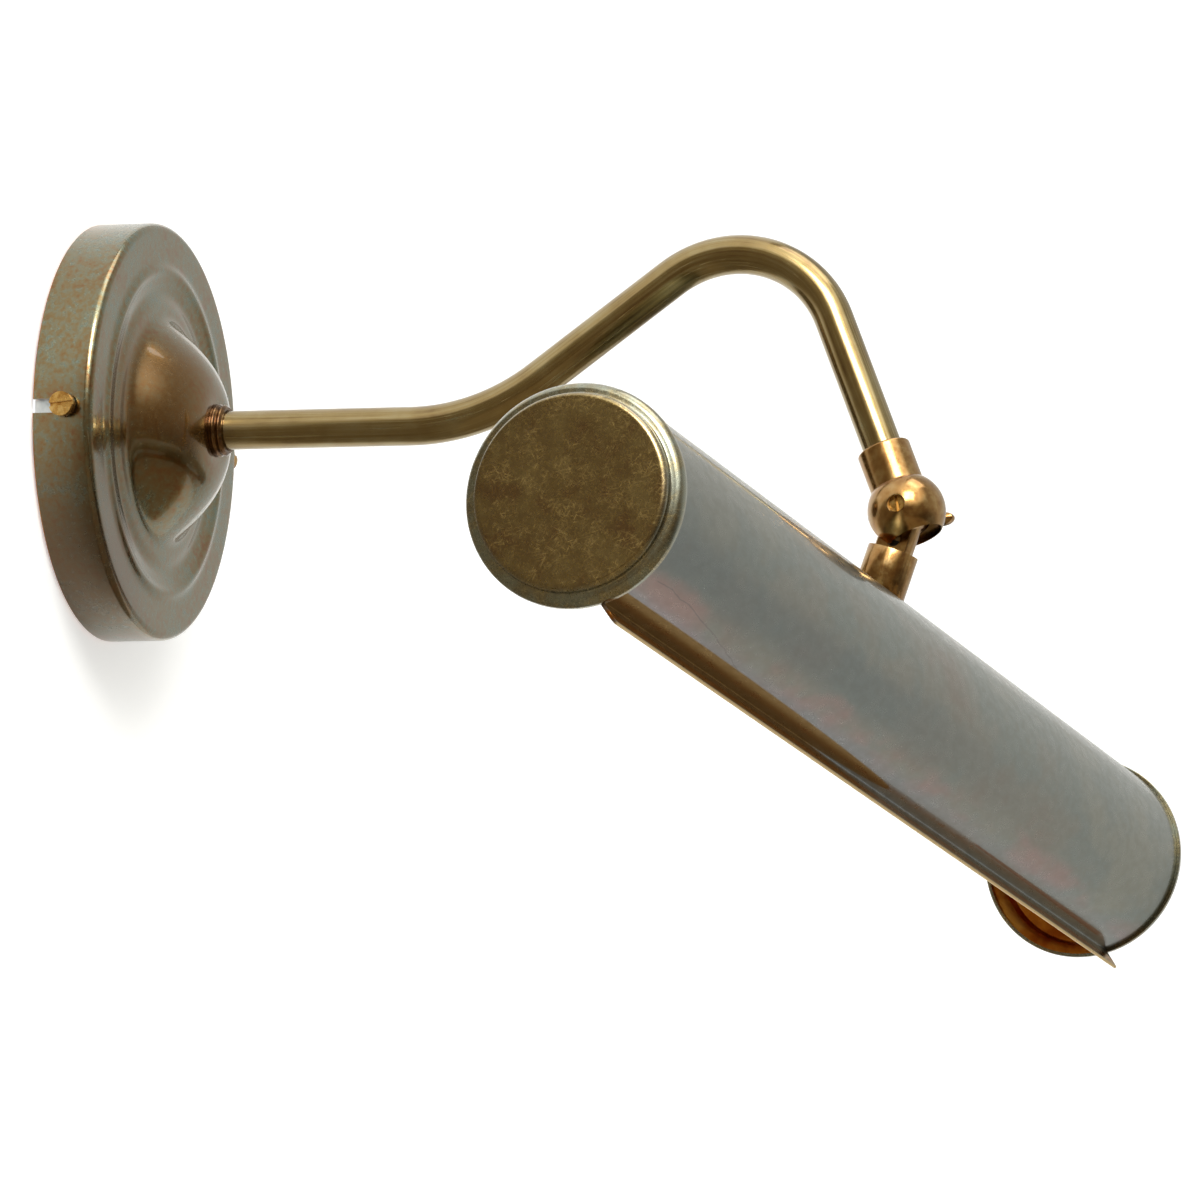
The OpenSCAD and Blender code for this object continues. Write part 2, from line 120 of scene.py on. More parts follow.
def skin(name, rows, place, closed=False, ends=False, sharp=35):
    """Quads over rows of points. Closed joins the last row to the first; ends closes both end rows.
    The map called flow holds metres round a row and metres from row to row."""
    bm = bmesh.new()
    flow = bm.loops.layers.uv.new("flow")
    verts = [[bm.verts.new(p) for p in row] for row in rows]
    n, m = len(rows[0]), len(rows)
    along = [0.0]
    for i in range(m):
        along.append(along[-1] + (Vector(rows[(i + 1) % m][0]) - Vector(rows[i][0])).length * MM)
    for i in range(m if closed else m - 1):
        across = sum((Vector(rows[i][j]) - Vector(rows[i][j - 1])).length for j in range(n)) * MM
        for j in range(n):
            k, l = (i + 1) % m, (j + 1) % n
            face = bm.faces.new((verts[i][j], verts[i][l], verts[k][l], verts[k][j]))
            corners = ((j, i), (j + 1, i), (j + 1, i + 1), (j, i + 1))
            for loop, (u, v) in zip(face.loops, corners):
                loop[flow].uv = (across * u / n, along[v])
    if ends:
        for row in (verts[0], verts[-1]):
            for j in range(n // 2 - 1):
                bm.faces.new((row[j], row[j + 1], row[n - 2 - j], row[n - 1 - j]))
    return finish_mesh(name, bm, place, sharp)


def lathe(name, outline, place, steps=144, sharp=35):
    """A closed outline of (radius, height) points turned round local Z."""
    angles = [2 * math.pi * j / steps for j in range(steps)]
    rows = [[(r * math.cos(a), r * math.sin(a), h) for a in angles] for r, h in outline]
    return skin(name, rows, place, closed=True, sharp=sharp)


def block(name, low, high, place):
    """A plain box, used only as a cutter."""
    bm = bmesh.new()
    bmesh.ops.create_cube(bm, size=1)
    centre = (Vector(low) + Vector(high)) / 2
    size = Vector(high) - Vector(low)
    bm.transform(Matrix.Translation(centre) @ Matrix.Diagonal((*size, 1)))
    return finish_mesh(name, bm, place)


def drill(name, r, start, end, place, chamfer=0.0):
    """A round cutter along local Z, with a cone of the chamfer's size at its start."""
    outline = [(0, start - 4), (r + chamfer + 4, start - 4), (r, start + chamfer)]
    if not chamfer:
        outline = [(0, start), (r, start)]
    return lathe(name, [*outline, (r, end), (0, end)], place, 64)


def apply_modifiers(obj, sharp=35):
    graph = bpy.context.evaluated_depsgraph_get()
    mesh = bpy.data.meshes.new_from_object(obj.evaluated_get(graph))
    mesh.shade_smooth()
    mesh.set_sharp_from_angle(angle=math.radians(sharp))
    obj.modifiers.clear()
    obj.data = mesh
    mesh.name = obj.name
    return obj


def carve(obj, *cutters, operation="DIFFERENCE"):
    for cutter in cutters:
        step = obj.modifiers.new(cutter.name, "BOOLEAN")
        step.operation, step.solver, step.object = operation, "EXACT", cutter
    apply_modifiers(obj)
    for cutter in cutters:
        bpy.data.objects.remove(cutter)
    return obj


def soften(obj, width):
    """Rounds a piece's hard edges."""
    weld = obj.modifiers.new("weld", "WELD")
    weld.merge_threshold = 2e-6
    bevel = obj.modifiers.new("bevel", "BEVEL")
    bevel.width, bevel.segments = width * MM, 2
    bevel.limit_method, bevel.angle_limit = "ANGLE", math.radians(40)
    bevel.use_clamp_overlap = True
    bevel.harden_normals = True


# ---- Materials ----
def linear(red, green, blue):
    """A colour given as 0-255 display values."""
    def one(c):
        c /= 255
        return c / 12.92 if c <= 0.04045 else ((c + 0.055) / 1.055) ** 2.4
    return (one(red), one(green), one(blue), 1)


class Shader:
    """Short names for the shader nodes that the materials are made of."""

    def __init__(self, name):
        self.material = bpy.data.materials.new(name)
        self.material.use_nodes = True
        self.tree = self.material.node_tree
        self.bsdf = self.tree.nodes["Principled BSDF"]
        self.place = self.add("ShaderNodeTexCoord").outputs["Object"]
        self.flow = self.add("ShaderNodeUVMap", uv_map="flow").outputs["UV"]

    def add(self, kind, **values):
        made = self.tree.nodes.new(kind)
        for key, value in values.items():
            setattr(made, key, value)
        return made

    def link(self, source, target):
        self.tree.links.new(source, target)

    def feed(self, made, key, value):
        if isinstance(value, bpy.types.NodeSocket):
            self.link(value, made.inputs[key])
        else:
            made.inputs[key].default_value = value

    def scaled(self, x, y, z, source=None, turn=0):
        """Coordinates turned about X by an angle, then scaled."""
        made = self.add("ShaderNodeVectorRotate", rotation_type="X_AXIS")
        made.inputs["Angle"].default_value = math.radians(turn)
        self.link(source or self.place, made.inputs["Vector"])
        size = self.add("ShaderNodeVectorMath", operation="MULTIPLY")
        size.inputs[1].default_value = (x, y, z)
        self.link(made.outputs[0], size.inputs[0])
        return size.outputs[0]

    def round_shade(self):
        """Millimetres along the shade's axis, degrees round it from the stem, and millimetres out from it."""
        local = self.add("ShaderNodeVectorRotate", rotation_type="X_AXIS")
        self.link(self.place, local.inputs["Vector"])
        local.inputs["Center"].default_value = SHADE.translation
        local.inputs["Angle"].default_value = -math.radians(STEM_TILT)
        offset = self.add("ShaderNodeVectorMath", operation="SUBTRACT")
        self.link(local.outputs[0], offset.inputs[0])
        offset.inputs[1].default_value = SHADE.translation
        parts = self.add("ShaderNodeSeparateXYZ")
        self.link(offset.outputs[0], parts.inputs[0])
        x, y, z = (self.maths("MULTIPLY", parts.outputs[i], 1 / MM) for i in range(3))
        turn = self.maths("DEGREES", self.maths("ARCTAN2", self.maths("MULTIPLY", y, -1.0), z))
        reach = self.maths("POWER", self.maths("MULTIPLY_ADD", y, y, self.maths("MULTIPLY", z, z)), 0.5)
        return x, turn, reach

    def near(self, point, full, edge):
        """1 within the full distance of a point and 0 past the edge distance, in millimetres."""
        made = self.add("ShaderNodeVectorMath", operation="DISTANCE")
        self.link(self.place, made.inputs[0])
        made.inputs[1].default_value = Vector(point) * MM
        return self.spread(made.outputs["Value"], full * MM, edge * MM, 1.0, 0.0)

    def noise(self, scale, detail=4, rough=0.55, source=None, distortion=0.0):
        made = self.add("ShaderNodeTexNoise")
        self.link(source or self.place, made.inputs["Vector"])
        made.inputs["Scale"].default_value = scale
        made.inputs["Detail"].default_value = detail
        made.inputs["Roughness"].default_value = rough
        made.inputs["Distortion"].default_value = distortion
        return made.outputs["Fac"]

    def maths(self, operation, a, b=0.0, c=0.0):
        made = self.add("ShaderNodeMath", operation=operation)
        for key, value in enumerate((a, b, c)):
            self.feed(made, key, value)
        return made.outputs[0]

    def spread(self, source, low, high, to_low=0.0, to_high=1.0):
        made = self.add("ShaderNodeMapRange", interpolation_type="SMOOTHSTEP")
        self.feed(made, "Value", source)
        for key, value in zip(("From Min", "From Max", "To Min", "To Max"), (low, high, to_low, to_high)):
            made.inputs[key].default_value = value
        return made.outputs["Result"]

    def mix(self, factor, a, b):
        made = self.add("ShaderNodeMix", data_type="RGBA")
        self.feed(made, 0, factor)
        self.feed(made, 6, a)
        self.feed(made, 7, b)
        return made.outputs[2]

    def ramp(self, source, *stops):
        made = self.add("ShaderNodeValToRGB")
        self.link(source, made.inputs[0])
        ramp = made.color_ramp
        ramp.interpolation = "EASE"
        while len(ramp.elements) < len(stops):
            ramp.elements.new(1)
        for element, (at, colour) in zip(ramp.elements, stops):
            element.position, element.color = at, colour
        return made.outputs[0]

    def bump(self, height, distance, strength=1.0):
        made = self.add("ShaderNodeBump")
        made.inputs["Strength"].default_value = strength
        made.inputs["Distance"].default_value = distance
        self.link(height, made.inputs["Height"])
        return made.outputs["Normal"]

    def set(self, **values):
        for key, value in values.items():
            self.feed(self.bsdf, key.replace("_", " "), value)


def lacquer(shader, weight=0.8, rough=0.06):
    shader.set(Coat_Weight=weight, Coat_Roughness=rough, Coat_IOR=1.5)


def rose_material():
    s = Shader("rose_patina")
    big, fine = s.noise(60, 4, 0.62), s.noise(700, 3, 0.6, distortion=0.3)
    blend = s.maths("MULTIPLY_ADD", fine, 0.5, s.maths("MULTIPLY", big, 0.5))
    colour = s.ramp(blend, (0.38, linear(128, 88, 46)), (0.46, linear(128, 107, 68)),
                    (0.54, linear(124, 120, 94)), (0.64, linear(114, 126, 114)))
    # painted shade: the rim darker and browner low on the left, standing in for the wall's shadow seen in it
    colour = s.mix(s.maths("MULTIPLY", s.near((-34, -6, -46), 8, 42), 0.75), colour, linear(92, 68, 44))
    # painted reflection: a warm brown glow on the bell's flank that faces left
    painted_bell_glow = s.maths("MULTIPLY", s.near((-16, -22, 4), 8, 27), s.spread(big, 0.3, 0.6, 0.6, 1.0))
    colour = s.mix(s.maths("MULTIPLY", painted_bell_glow, 0.85), colour, linear(128, 88, 36))
    grain = s.noise(2600, 3, 0.7)
    colour = s.mix(s.spread(grain, 0.58, 0.8, 0, 0.2), colour, linear(170, 130, 70))
    s.set(Base_Color=colour, Metallic=1.0, Roughness=s.spread(blend, 0.3, 0.7, 0.19, 0.3))
    s.set(Normal=s.bump(big, 0.00003, 0.5))
    lacquer(s)
    return s.material


def arm_material():
    s = Shader("arm_brass")
    streak = s.noise(1, 4, 0.6, s.scaled(1500, 22, 1, s.flow))
    patch = s.noise(90, 3, 0.6)
    blend = s.maths("MULTIPLY_ADD", streak, 0.6, s.maths("MULTIPLY", patch, 0.4))
    colour = s.ramp(blend, (0.36, linear(124, 98, 54)), (0.48, linear(150, 127, 78)),
                    (0.6, linear(164, 146, 102)), (0.7, linear(152, 150, 122)))
    s.set(Base_Color=colour, Metallic=1.0, Roughness=s.spread(streak, 0.3, 0.7, 0.16, 0.28))
    s.set(Normal=s.bump(streak, 0.000004, 0.4))
    lacquer(s, 0.7, 0.06)
    return s.material


def turned_material(name, low, middle, high):
    """Lathe-turned bronze with fine turning marks."""
    s = Shader(name)
    turning = s.noise(1, 2, 0.5, s.scaled(3, 5200, 1, s.flow))
    patch = s.noise(420, 4, 0.6)
    colour = s.ramp(patch, (0.35, low), (0.5, middle), (0.66, high))
    s.set(Base_Color=colour, Metallic=1.0, Roughness=s.spread(patch, 0.3, 0.7, 0.17, 0.26))
    s.set(Normal=s.bump(turning, 0.000004, 0.4))
    lacquer(s, 0.4, 0.05)
    return s.material


def shade_material():
    """Grey lacquered brass. Its marks, painted reflection and shade bands and a painted highlight on the
    lip's edge are placed along the shade and by the angle from the stem.
    """
    s = Shader("shade_patina")
    x, turn, reach = s.round_shade()
    long = s.scaled(0.45, 1, 1)
    big, fine = s.noise(30, 4, 0.6, long), s.noise(420, 3, 0.6, long)
    wave = s.maths("MULTIPLY_ADD", s.noise(60, 3, 0.6, long), 24.0, -12.0)
    waved = s.maths("ADD", turn, wave)
    colour = s.ramp(big, (0.33, linear(114, 100, 82)), (0.44, linear(114, 112, 98)),
                    (0.55, linear(104, 112, 103)), (0.68, linear(120, 120, 104)))
    colour = s.mix(s.spread(fine, 0.5, 0.75, 0, 0.3), colour, linear(124, 116, 96))

    def band(value, low, high, soft):
        rise, fall = s.spread(value, low - soft, low + soft), s.spread(value, high - soft, high + soft, 1, 0)
        return s.maths("MULTIPLY", rise, fall)

    def tint(mask, amount, to):
        return s.mix(s.maths("MULTIPLY", mask, amount), colour, to)

    # painted reflection: a darker blue-grey band round the middle of the near half
    near_half = s.spread(x, -60, 110, 1, 0)
    colour = tint(s.maths("MULTIPLY", band(waved, 88, 114, 8), near_half), 0.6, linear(78, 88, 86))
    colour = tint(s.spread(x, -205, -90, 1, 0), 0.35, linear(84, 88, 84))
    patches = s.maths("MULTIPLY", band(waved, 116, 134, 5), s.spread(s.noise(44, 3, 0.6, long), 0.4, 0.6))
    colour = tint(patches, 0.8, linear(142, 102, 92))
    # painted reflection: a lilac-grey band above the lip, stronger towards the near end
    colour = tint(band(turn, 130, 150, 6), s.spread(x, -40, 120, 0.6, 0.3), linear(108, 106, 116))
    # painted shade: a dark brown band above the lip's root, tapering towards the middle
    t = s.maths("MULTIPLY_ADD", x, 1 / 208, 200 / 208)
    width = s.maths("SQRT", s.maths("MAXIMUM", s.maths("SUBTRACT", 1.0, s.maths("MULTIPLY", t, t)), 0.0))
    from_middle = s.maths("ABSOLUTE", s.maths("SUBTRACT", turn, s.maths("MULTIPLY_ADD", t, -1.4, 142.4)))
    stripe = s.spread(s.maths("MULTIPLY_ADD", width, -8.4, from_middle), -0.7, 0.5, 1, 0)
    stripe = s.maths("MULTIPLY", stripe, s.spread(x, 5, 8, 1, 0))
    colour = tint(stripe, 0.98, linear(116, 84, 34))
    # painted shade: a second, thin dark brown band above the lip's root on the far half
    second = s.maths("ABSOLUTE", s.maths("SUBTRACT", turn, s.maths("MULTIPLY_ADD", x, 0.018, 137.1)))
    second = s.spread(s.maths("MULTIPLY_ADD", x, -0.0075, second), -0.2, 0.5, 1, 0)
    colour = tint(s.maths("MULTIPLY", second, band(x, 76, 190, 2)), 0.92, linear(98, 56, 14))
    hair = s.maths("POWER", s.maths("MAXIMUM", s.maths("MULTIPLY_ADD", x, 1 / 70, 190 / 70), 0.0), 1.6)
    hair = s.maths("MULTIPLY_ADD", hair, 16.0, s.maths("MULTIPLY_ADD", s.noise(90, 2), 5.0, 116.6))
    hair = s.spread(s.maths("ABSOLUTE", s.maths("SUBTRACT", turn, hair)), 0.15, 0.55, 1, 0)
    colour = tint(s.maths("MULTIPLY", hair, band(x, -198, -120, 1)), 0.55, linear(78, 62, 56))
    lip = s.spread(reach, SHADE_R + 0.1, SHADE_R + 0.9)
    colour = tint(lip, 0.85, linear(150, 132, 118))
    colour = tint(band(reach, SHADE_R + 2.4, SHADE_R + 4.6, 0.4), 0.95, linear(156, 96, 36))
    # painted highlight along the lip's outer edge
    colour = tint(s.spread(reach, SHADE_R + 5.0, SHADE_R + 5.3), 0.9, linear(214, 186, 140))
    # where the painted shade band and the lip are: less coat and a warmer specular tint
    stripe_and_lip = s.maths("MAXIMUM", stripe, lip)
    spot = s.maths("MULTIPLY", s.near((49, -230, -88), 3, 22), s.spread(fine, 0.4, 0.6, 0.3, 1.0))
    colour = tint(spot, 0.7, linear(140, 98, 60))
    s.set(Base_Color=colour, Metallic=1.0, Roughness=s.spread(fine, 0.3, 0.7, 0.26, 0.36))
    s.set(Normal=s.bump(s.noise(60, 2), 0.00003, 0.5))
    s.set(Specular_Tint=s.mix(stripe_and_lip, linear(255, 255, 255), linear(251, 243, 223)))
    lacquer(s, s.maths("MULTIPLY_ADD", stripe_and_lip, -0.5, 0.5), 0.05)
    return s.material


def cap_material():
    s = Shader("cap_patina")
    reach = s.round_shade()[2]
    patch, fine = s.noise(130, 4, 0.65), s.noise(1500, 4, 0.75)
    colour = s.ramp(patch, (0.34, linear(122, 94, 54)), (0.5, linear(134, 112, 66)),
                    (0.66, linear(146, 126, 78)))
    marks = None
    for turn, low in ((12, 0.6), (38, 0.61), (63, 0.6), (118, 0.61), (155, 0.61)):
        line = s.noise(1, 2, 0.5, s.scaled(1, 330, 3300, turn=turn), distortion=0.5)
        mark = s.spread(line, low, low + 0.07)
        marks = s.maths("MAXIMUM", marks, mark) if marks else mark
    worn = s.maths("MULTIPLY", marks, s.spread(s.noise(200, 3, 0.6), 0.44, 0.6, 0.05, 1.0))
    colour = s.mix(s.maths("MULTIPLY", worn, 0.5), colour, linear(232, 206, 140))
    colour = s.mix(s.spread(fine, 0.5, 0.75, 0, 0.35), colour, linear(176, 150, 94))
    # painted reflection: a blue-grey sheen on the outer bead, broken up by the patches
    painted_bead_reflection = s.maths("MULTIPLY", s.spread(reach, 21.5, 23.5), s.spread(patch, 0.4, 0.6, 0.7, 0.25))
    colour = s.mix(painted_bead_reflection, colour, linear(148, 158, 146))
    s.set(Base_Color=colour, Metallic=1.0, Roughness=s.spread(fine, 0.3, 0.7, 0.2, 0.3))
    s.set(Normal=s.bump(s.noise(400, 2), 0.000006, 0.5))
    lacquer(s, 1.0, 0.06)
    return s.material


def inner_material():
    s = Shader("inner_brass")
    patch, fine = s.noise(90, 4, 0.6), s.noise(1100, 3, 0.6)
    colour = s.ramp(patch, (0.35, linear(168, 84, 22)), (0.52, linear(198, 120, 38)),
                    (0.68, linear(214, 152, 66)))
    s.set(Base_Color=colour, Metallic=1.0, Roughness=s.spread(fine, 0.3, 0.7, 0.3, 0.45))
    s.set(Normal=s.bump(fine, 0.00001, 0.5))
    return s.material


def bright_brass_material():
    s = Shader("bright_brass")
    patch, fine = s.noise(500, 4, 0.6), s.noise(2500, 2, 0.5)
    colour = s.ramp(patch, (0.35, linear(160, 112, 52)), (0.5, linear(196, 152, 82)),
                    (0.68, linear(214, 178, 112)))
    s.set(Base_Color=colour, Metallic=1.0, Roughness=s.spread(patch, 0.3, 0.7, 0.2, 0.34))
    s.set(Normal=s.bump(fine, 0.000008, 0.5))
    return s.material


def steel_material():
    s = Shader("zinc_steel")
    patch, fine = s.noise(160, 4, 0.6), s.noise(1500, 3, 0.6)
    colour = s.ramp(patch, (0.35, linear(186, 194, 198)), (0.65, linear(222, 226, 226)))
    s.set(Base_Color=colour, Metallic=0.9, Roughness=s.spread(fine, 0.3, 0.7, 0.28, 0.45))
    s.set(Normal=s.bump(fine, 0.00001, 0.5))
    return s.material


def moulded_material(name, low, high, rough):
    s = Shader(name)
    patch, fine = s.noise(120, 3, 0.6), s.noise(3000, 3, 0.6)
    s.set(Base_Color=s.ramp(patch, (0.35, low), (0.65, high)))
    s.set(Roughness=s.spread(fine, 0.3, 0.7, rough, rough + 0.15))
    s.set(Normal=s.bump(fine, 0.00001, 0.6))
    return s.material


def glass_material():
    s = Shader("lamp_glass")
    fine = s.noise(1800, 3, 0.6)
    s.set(Base_Color=s.ramp(s.noise(60, 3), (0.3, linear(246, 244, 236)), (0.7, linear(252, 252, 250))))
    s.set(Roughness=s.spread(fine, 0.3, 0.7, 0.3, 0.42), Transmission_Weight=0.55, IOR=1.5)
    s.set(Normal=s.bump(fine, 0.000008, 0.5))
    return s.material


MATERIALS = {
    "rose_patina": rose_material(),
    "arm_brass": arm_material(),
    "knuckle_bronze": turned_material("knuckle_bronze", linear(154, 112, 60), linear(168, 128, 74),
                                      linear(180, 146, 94)),
    "collar_bronze": turned_material("collar_bronze", linear(88, 58, 30), linear(102, 70, 36),
                                     linear(124, 92, 52)),
    "shade_patina": shade_material(),
    "cap_patina": cap_material(),
    "bright_brass": bright_brass_material(),
    "zinc_steel": steel_material(),
    "white_plastic": moulded_material("white_plastic", linear(214, 210, 198), linear(232, 230, 222), 0.35),
    "phenolic": moulded_material("phenolic", linear(34, 28, 24), linear(48, 40, 34), 0.25),
    "flex": moulded_material("flex", linear(24, 24, 24), linear(38, 37, 36), 0.45),
    "lamp_glass": glass_material(),
    "filament": bright_brass_material(),
}
INNER = inner_material()
NODE_SLOT = {row["node"]: row["material_slot"] for row in frame["record"]["subparts"]}


def dress(obj, body, *nodes):
    """Gives a new piece the material of its node's slot, and its body."""
    slot = NODE_SLOT[nodes[0]]
    obj.data.materials.clear()
    obj.data.materials.append(MATERIALS[slot])
    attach(obj, body)
    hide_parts(*nodes)
    return obj


def line_inside(obj, is_inside):
    """Gives the faces for which is_inside(centre, normal) is true the inner finish."""
    obj.data.materials.append(INNER)
    for face in obj.data.polygons:
        if is_inside(face.center, face.normal):
            face.material_index = 1


# ---- Rose ----
def bump_at(r, at, wide):
    return math.exp(-((r - at) / wide) ** 2)


def rose_face(r):
    """Height of the rose's face: a soft ridge, a shallow moat and the bell."""
    soft = 0.035                          # share of the bell's slope over which its foot is rounded
    inward = (BELL_FOOT - r) / (BELL_FOOT - BELL_CROWN)
    u = min(1, soft * math.log1p(math.exp(inward / soft)))
    bell = BELL_H * math.sin(math.radians(90 * u ** 0.95))
    return ROSE_DEPTH + 0.7 * bump_at(r, 39.4, 1.5) - 0.7 * bump_at(r, 34, 2.4) + bell


def rose_piece():
    steps = 110
    edge = ROSE_R - 4
    radii = [edge - (edge - TUBE_R - GAP) * i / steps for i in range(steps + 1)]
    corner = ROSE_DEPTH - RIM_CORNER
    outline = [(ROSE_R - 0.25, 0), (ROSE_R, 0.25), (ROSE_R, 5), (ROSE_R, 9)]
    outline += arc(ROSE_R - RIM_CORNER, corner, RIM_CORNER, 0, 90, 10)
    outline += [(r, rose_face(r)) for r in radii]
    outline += [(r, rose_face(r) - ROSE_WALL) for r in reversed(radii)]
    outline += arc(ROSE_R - RIM_CORNER, corner, RIM_CORNER - ROSE_WALL, 90, 0, 5)
    outline += [(ROSE_R - ROSE_WALL, 0.2), (ROSE_R - ROSE_WALL + 0.2, 0)]
    rose = lathe("rose", outline, OUT, 240)
    low, ear_depth = -ROSE_R - 1, 5
    slot_end = BRACKET @ moved(low, -SLOT_Y, 0) @ turned("Y", 90)
    cutters = (
        drill("slot_end", HOLE_R, 0, ear_depth, slot_end),
        block("slot", (low, -SLOT_Y, -SLOT_W / 2), (low + ear_depth, 1, SLOT_W / 2), BRACKET),
        drill("screw_hole", HOLE_R, 0, 6, BRACKET @ moved(ROSE_R - 4, -HOLE_Y, 0) @ turned("Y", 90)),
    )
    carve(rose, *cutters)
    dress(rose, "root", "rose_cover")

    def inside(p, n):
        out = math.hypot(p.x, p.z)
        inner_rim = n.x * p.x + n.z * p.z < -0.6 * out and p.y > -0.014 and out > 0.048
        return n.y > 0.3 or inner_rim

    line_inside(rose, inside)
    return rose


def collar_piece():
    bore = TUBE_R + GAP
    outline = [(bore, 0), (6.3, 0), *arc(6.1, 0.55, 0.4, -60, 60, 5), (6.05, 1.15), (6.05, 1.5)]
    outline += [*arc(5.85, 2.0, 0.4, -50, 60, 5), (5.6, 2.8), (bore + 0.2, 2.8), (bore, 2.6)]
    collar = dress(lathe("collar", outline, moved(0, -ROSE_TOP, 0) @ OUT, 96, 30), "root", "arm_collar")
    collar.data.materials[0] = MATERIALS["collar_bronze"]
    return collar


# ---- Arm ----
def arm_path(start, end):
    """Stations along the arm as (out, up, heading in degrees)."""
    bend_1, p2, bend_2, p3 = arm_stretches()
    stations = [(start + (REACH_1 - start) * i / 12, 0, 0) for i in range(12)]
    for i in range(25):
        at = bend_1 + BEND_R1 * heading(-90 + RISE * i / 24)
        stations.append((at.x, at.y, RISE * i / 24))
    for i in range(37):
        at = bend_2 + BEND_R2 * heading(RISE + 90 - DROP_TURN * i / 36)
        stations.append((at.x, at.y, RISE - DROP_TURN * i / 36))
    for i in range(1, 13):
        at = p3 + heading(DROP) * (REACH_3 - end) * i / 12
        stations.append((at.x, at.y, DROP))
    return stations


def tube_rows(stations, radius, sides=48):
    rows = []
    for out, up, angle in stations:
        side = heading(angle + 90)
        ring = []
        for j in range(sides):
            a = 2 * math.pi * j / sides
            across, rise = radius * math.cos(a), radius * math.sin(a)
            ring.append((across, -(out + side.x * rise), up + side.y * rise))
        rows.append(ring)
    return rows


def arm_piece():
    stations = arm_path(TUBE_START, TUBE_END)
    rows = tube_rows(stations, TUBE_R) + tube_rows(stations[::-1], TUBE_BORE)
    return dress(skin("arm", rows, Matrix.Identity(4), closed=True), "root", "arm_tube")


# ---- Knuckle ----
def knuckle_piece():
    join = math.degrees(math.acos(SOCKET_R / BALL_R))
    rim = math.degrees(math.acos(BORE_R / BALL_R))
    corner = 0.6
    outline = arc(SOCKET_R - corner, SOCKET_TOP - corner, corner, 90, 0, 6)
    outline += [(SOCKET_R, 12), (SOCKET_R, 9)]
    outline += arc(0, 0, BALL_R, join, -rim + 1, 64)
    outline += [(BORE_R + 0.1, -math.sqrt(BALL_R ** 2 - (BORE_R + 0.1) ** 2) + 0.02), (BORE_R, -6.6)]
    outline += [(BORE_R, -3), (BORE_R, 6), (2.6, 6), (2.6, TUBE_END), (TUBE_R + 0.02, TUBE_END)]
    outline += [(TUBE_R + 0.02, SOCKET_TOP - 0.15), (TUBE_R + 0.15, SOCKET_TOP)]
    knuckle = lathe("knuckle", outline, KNUCKLE, 176)
    half = TONGUE_T / 2 + 0.15
    slot_turn = KNUCKLE @ turned("X", SWING_WALL - 90)
    slot_top = NECK_W / 2 + 0.2
    cutters = (
        block("neck_slot", (-half, 0, slot_top - 2 * BALL_R), (half, 2 * BALL_R, slot_top), slot_turn),
        drill("pivot_left", HOLE_R, -9.2, -3, KNUCKLE @ turned("Y", 90), 0.25),
        drill("pivot_right", HOLE_R, 3, 12, KNUCKLE @ turned("Y", 90)),
    )
    carve(knuckle, *cutters)
    return dress(knuckle, "root", "knuckle_socket")


def wing_piece():
    """A cast wing nut: a coned boss and two rounded, out-leaning wings, blended together."""
    place = KNUCKLE @ turned("X", DROP + WING_TURN)
    boss = [(0, WING_X), (3.7, WING_X), (3.9, WING_X + 0.2), (3.3, WING_X + 3.3), (3.0, WING_X + 3.6)]
    boss.append((0, WING_X + 3.6))
    nut = lathe("wing", boss, place @ turned("Y", 90), 64)
    wings = []
    for flip in (1, -1):
        bm = bmesh.new()
        bmesh.ops.create_uvsphere(bm, u_segments=32, v_segments=20, radius=1)
        for v in bm.verts:
            square = max(abs(v.co.x), abs(v.co.y), 1e-6) / max(math.hypot(v.co.x, v.co.y), 1e-6)
            widen = 1 / square ** 0.6
            v.co = Vector((v.co.x * 1.85 * widen * (1 + 0.12 * v.co.y), v.co.y * 3.75 * widen, v.co.z * 1.7))
            v.co.x += 1.75
            v.co.y += 3.5
        side = place @ Matrix.Scale(flip, 4, (0, 1, 0))
        wings.append(finish_mesh("wing_blade", bm, side @ moved(WING_X + 0.7, 1.3, 0) @ turned("Z", -10)))
    carve(nut, *wings, operation="UNION")
    blend = nut.modifiers.new("blend", "REMESH")
    blend.mode, blend.voxel_size = "VOXEL", 0.14 * MM
    smooth = nut.modifiers.new("smooth", "SMOOTH")
    smooth.factor, smooth.iterations = 0.5, 6
    apply_modifiers(nut, 80)
    carve(nut, drill("thread", HOLE_R, WING_X - 2, WING_X + 6, place @ turned("Y", 90)))
    return dress(nut, "wing_nut", "wing_nut")


# ---- Shade ----
def trough_line():
    """The sheet's middle line in the shade's (y, z) plane, from the lip's tip to the plain rear edge."""
    middle = SHADE_R - SHEET / 2
    root = middle * heading(90 + FRONT_LIP)
    tip = root + (LIP_W + SHEET / 2) * heading(90 + FRONT_LIP - LIP_LEAN)
    turn = 1.1
    start, end = 90 + FRONT_LIP - math.degrees(turn / middle), 90 - REAR_EDGE
    first, inner = middle * heading(start), root + (tip - root).normalized() * turn
    line = [tip + (inner - tip) * t for t in (0, 0.02, 0.05, 0.09, 0.3, 0.6, 0.85)]
    line += [(1 - t) ** 2 * inner + 2 * t * (1 - t) * root + t * t * first for t in [i / 8 for i in range(9)]]
    line += [middle * heading(start + (end - start) * i / 110) for i in range(1, 110)]
    line += [middle * heading(end + d / middle) for d in (20, 8, 3, 0)]
    return line


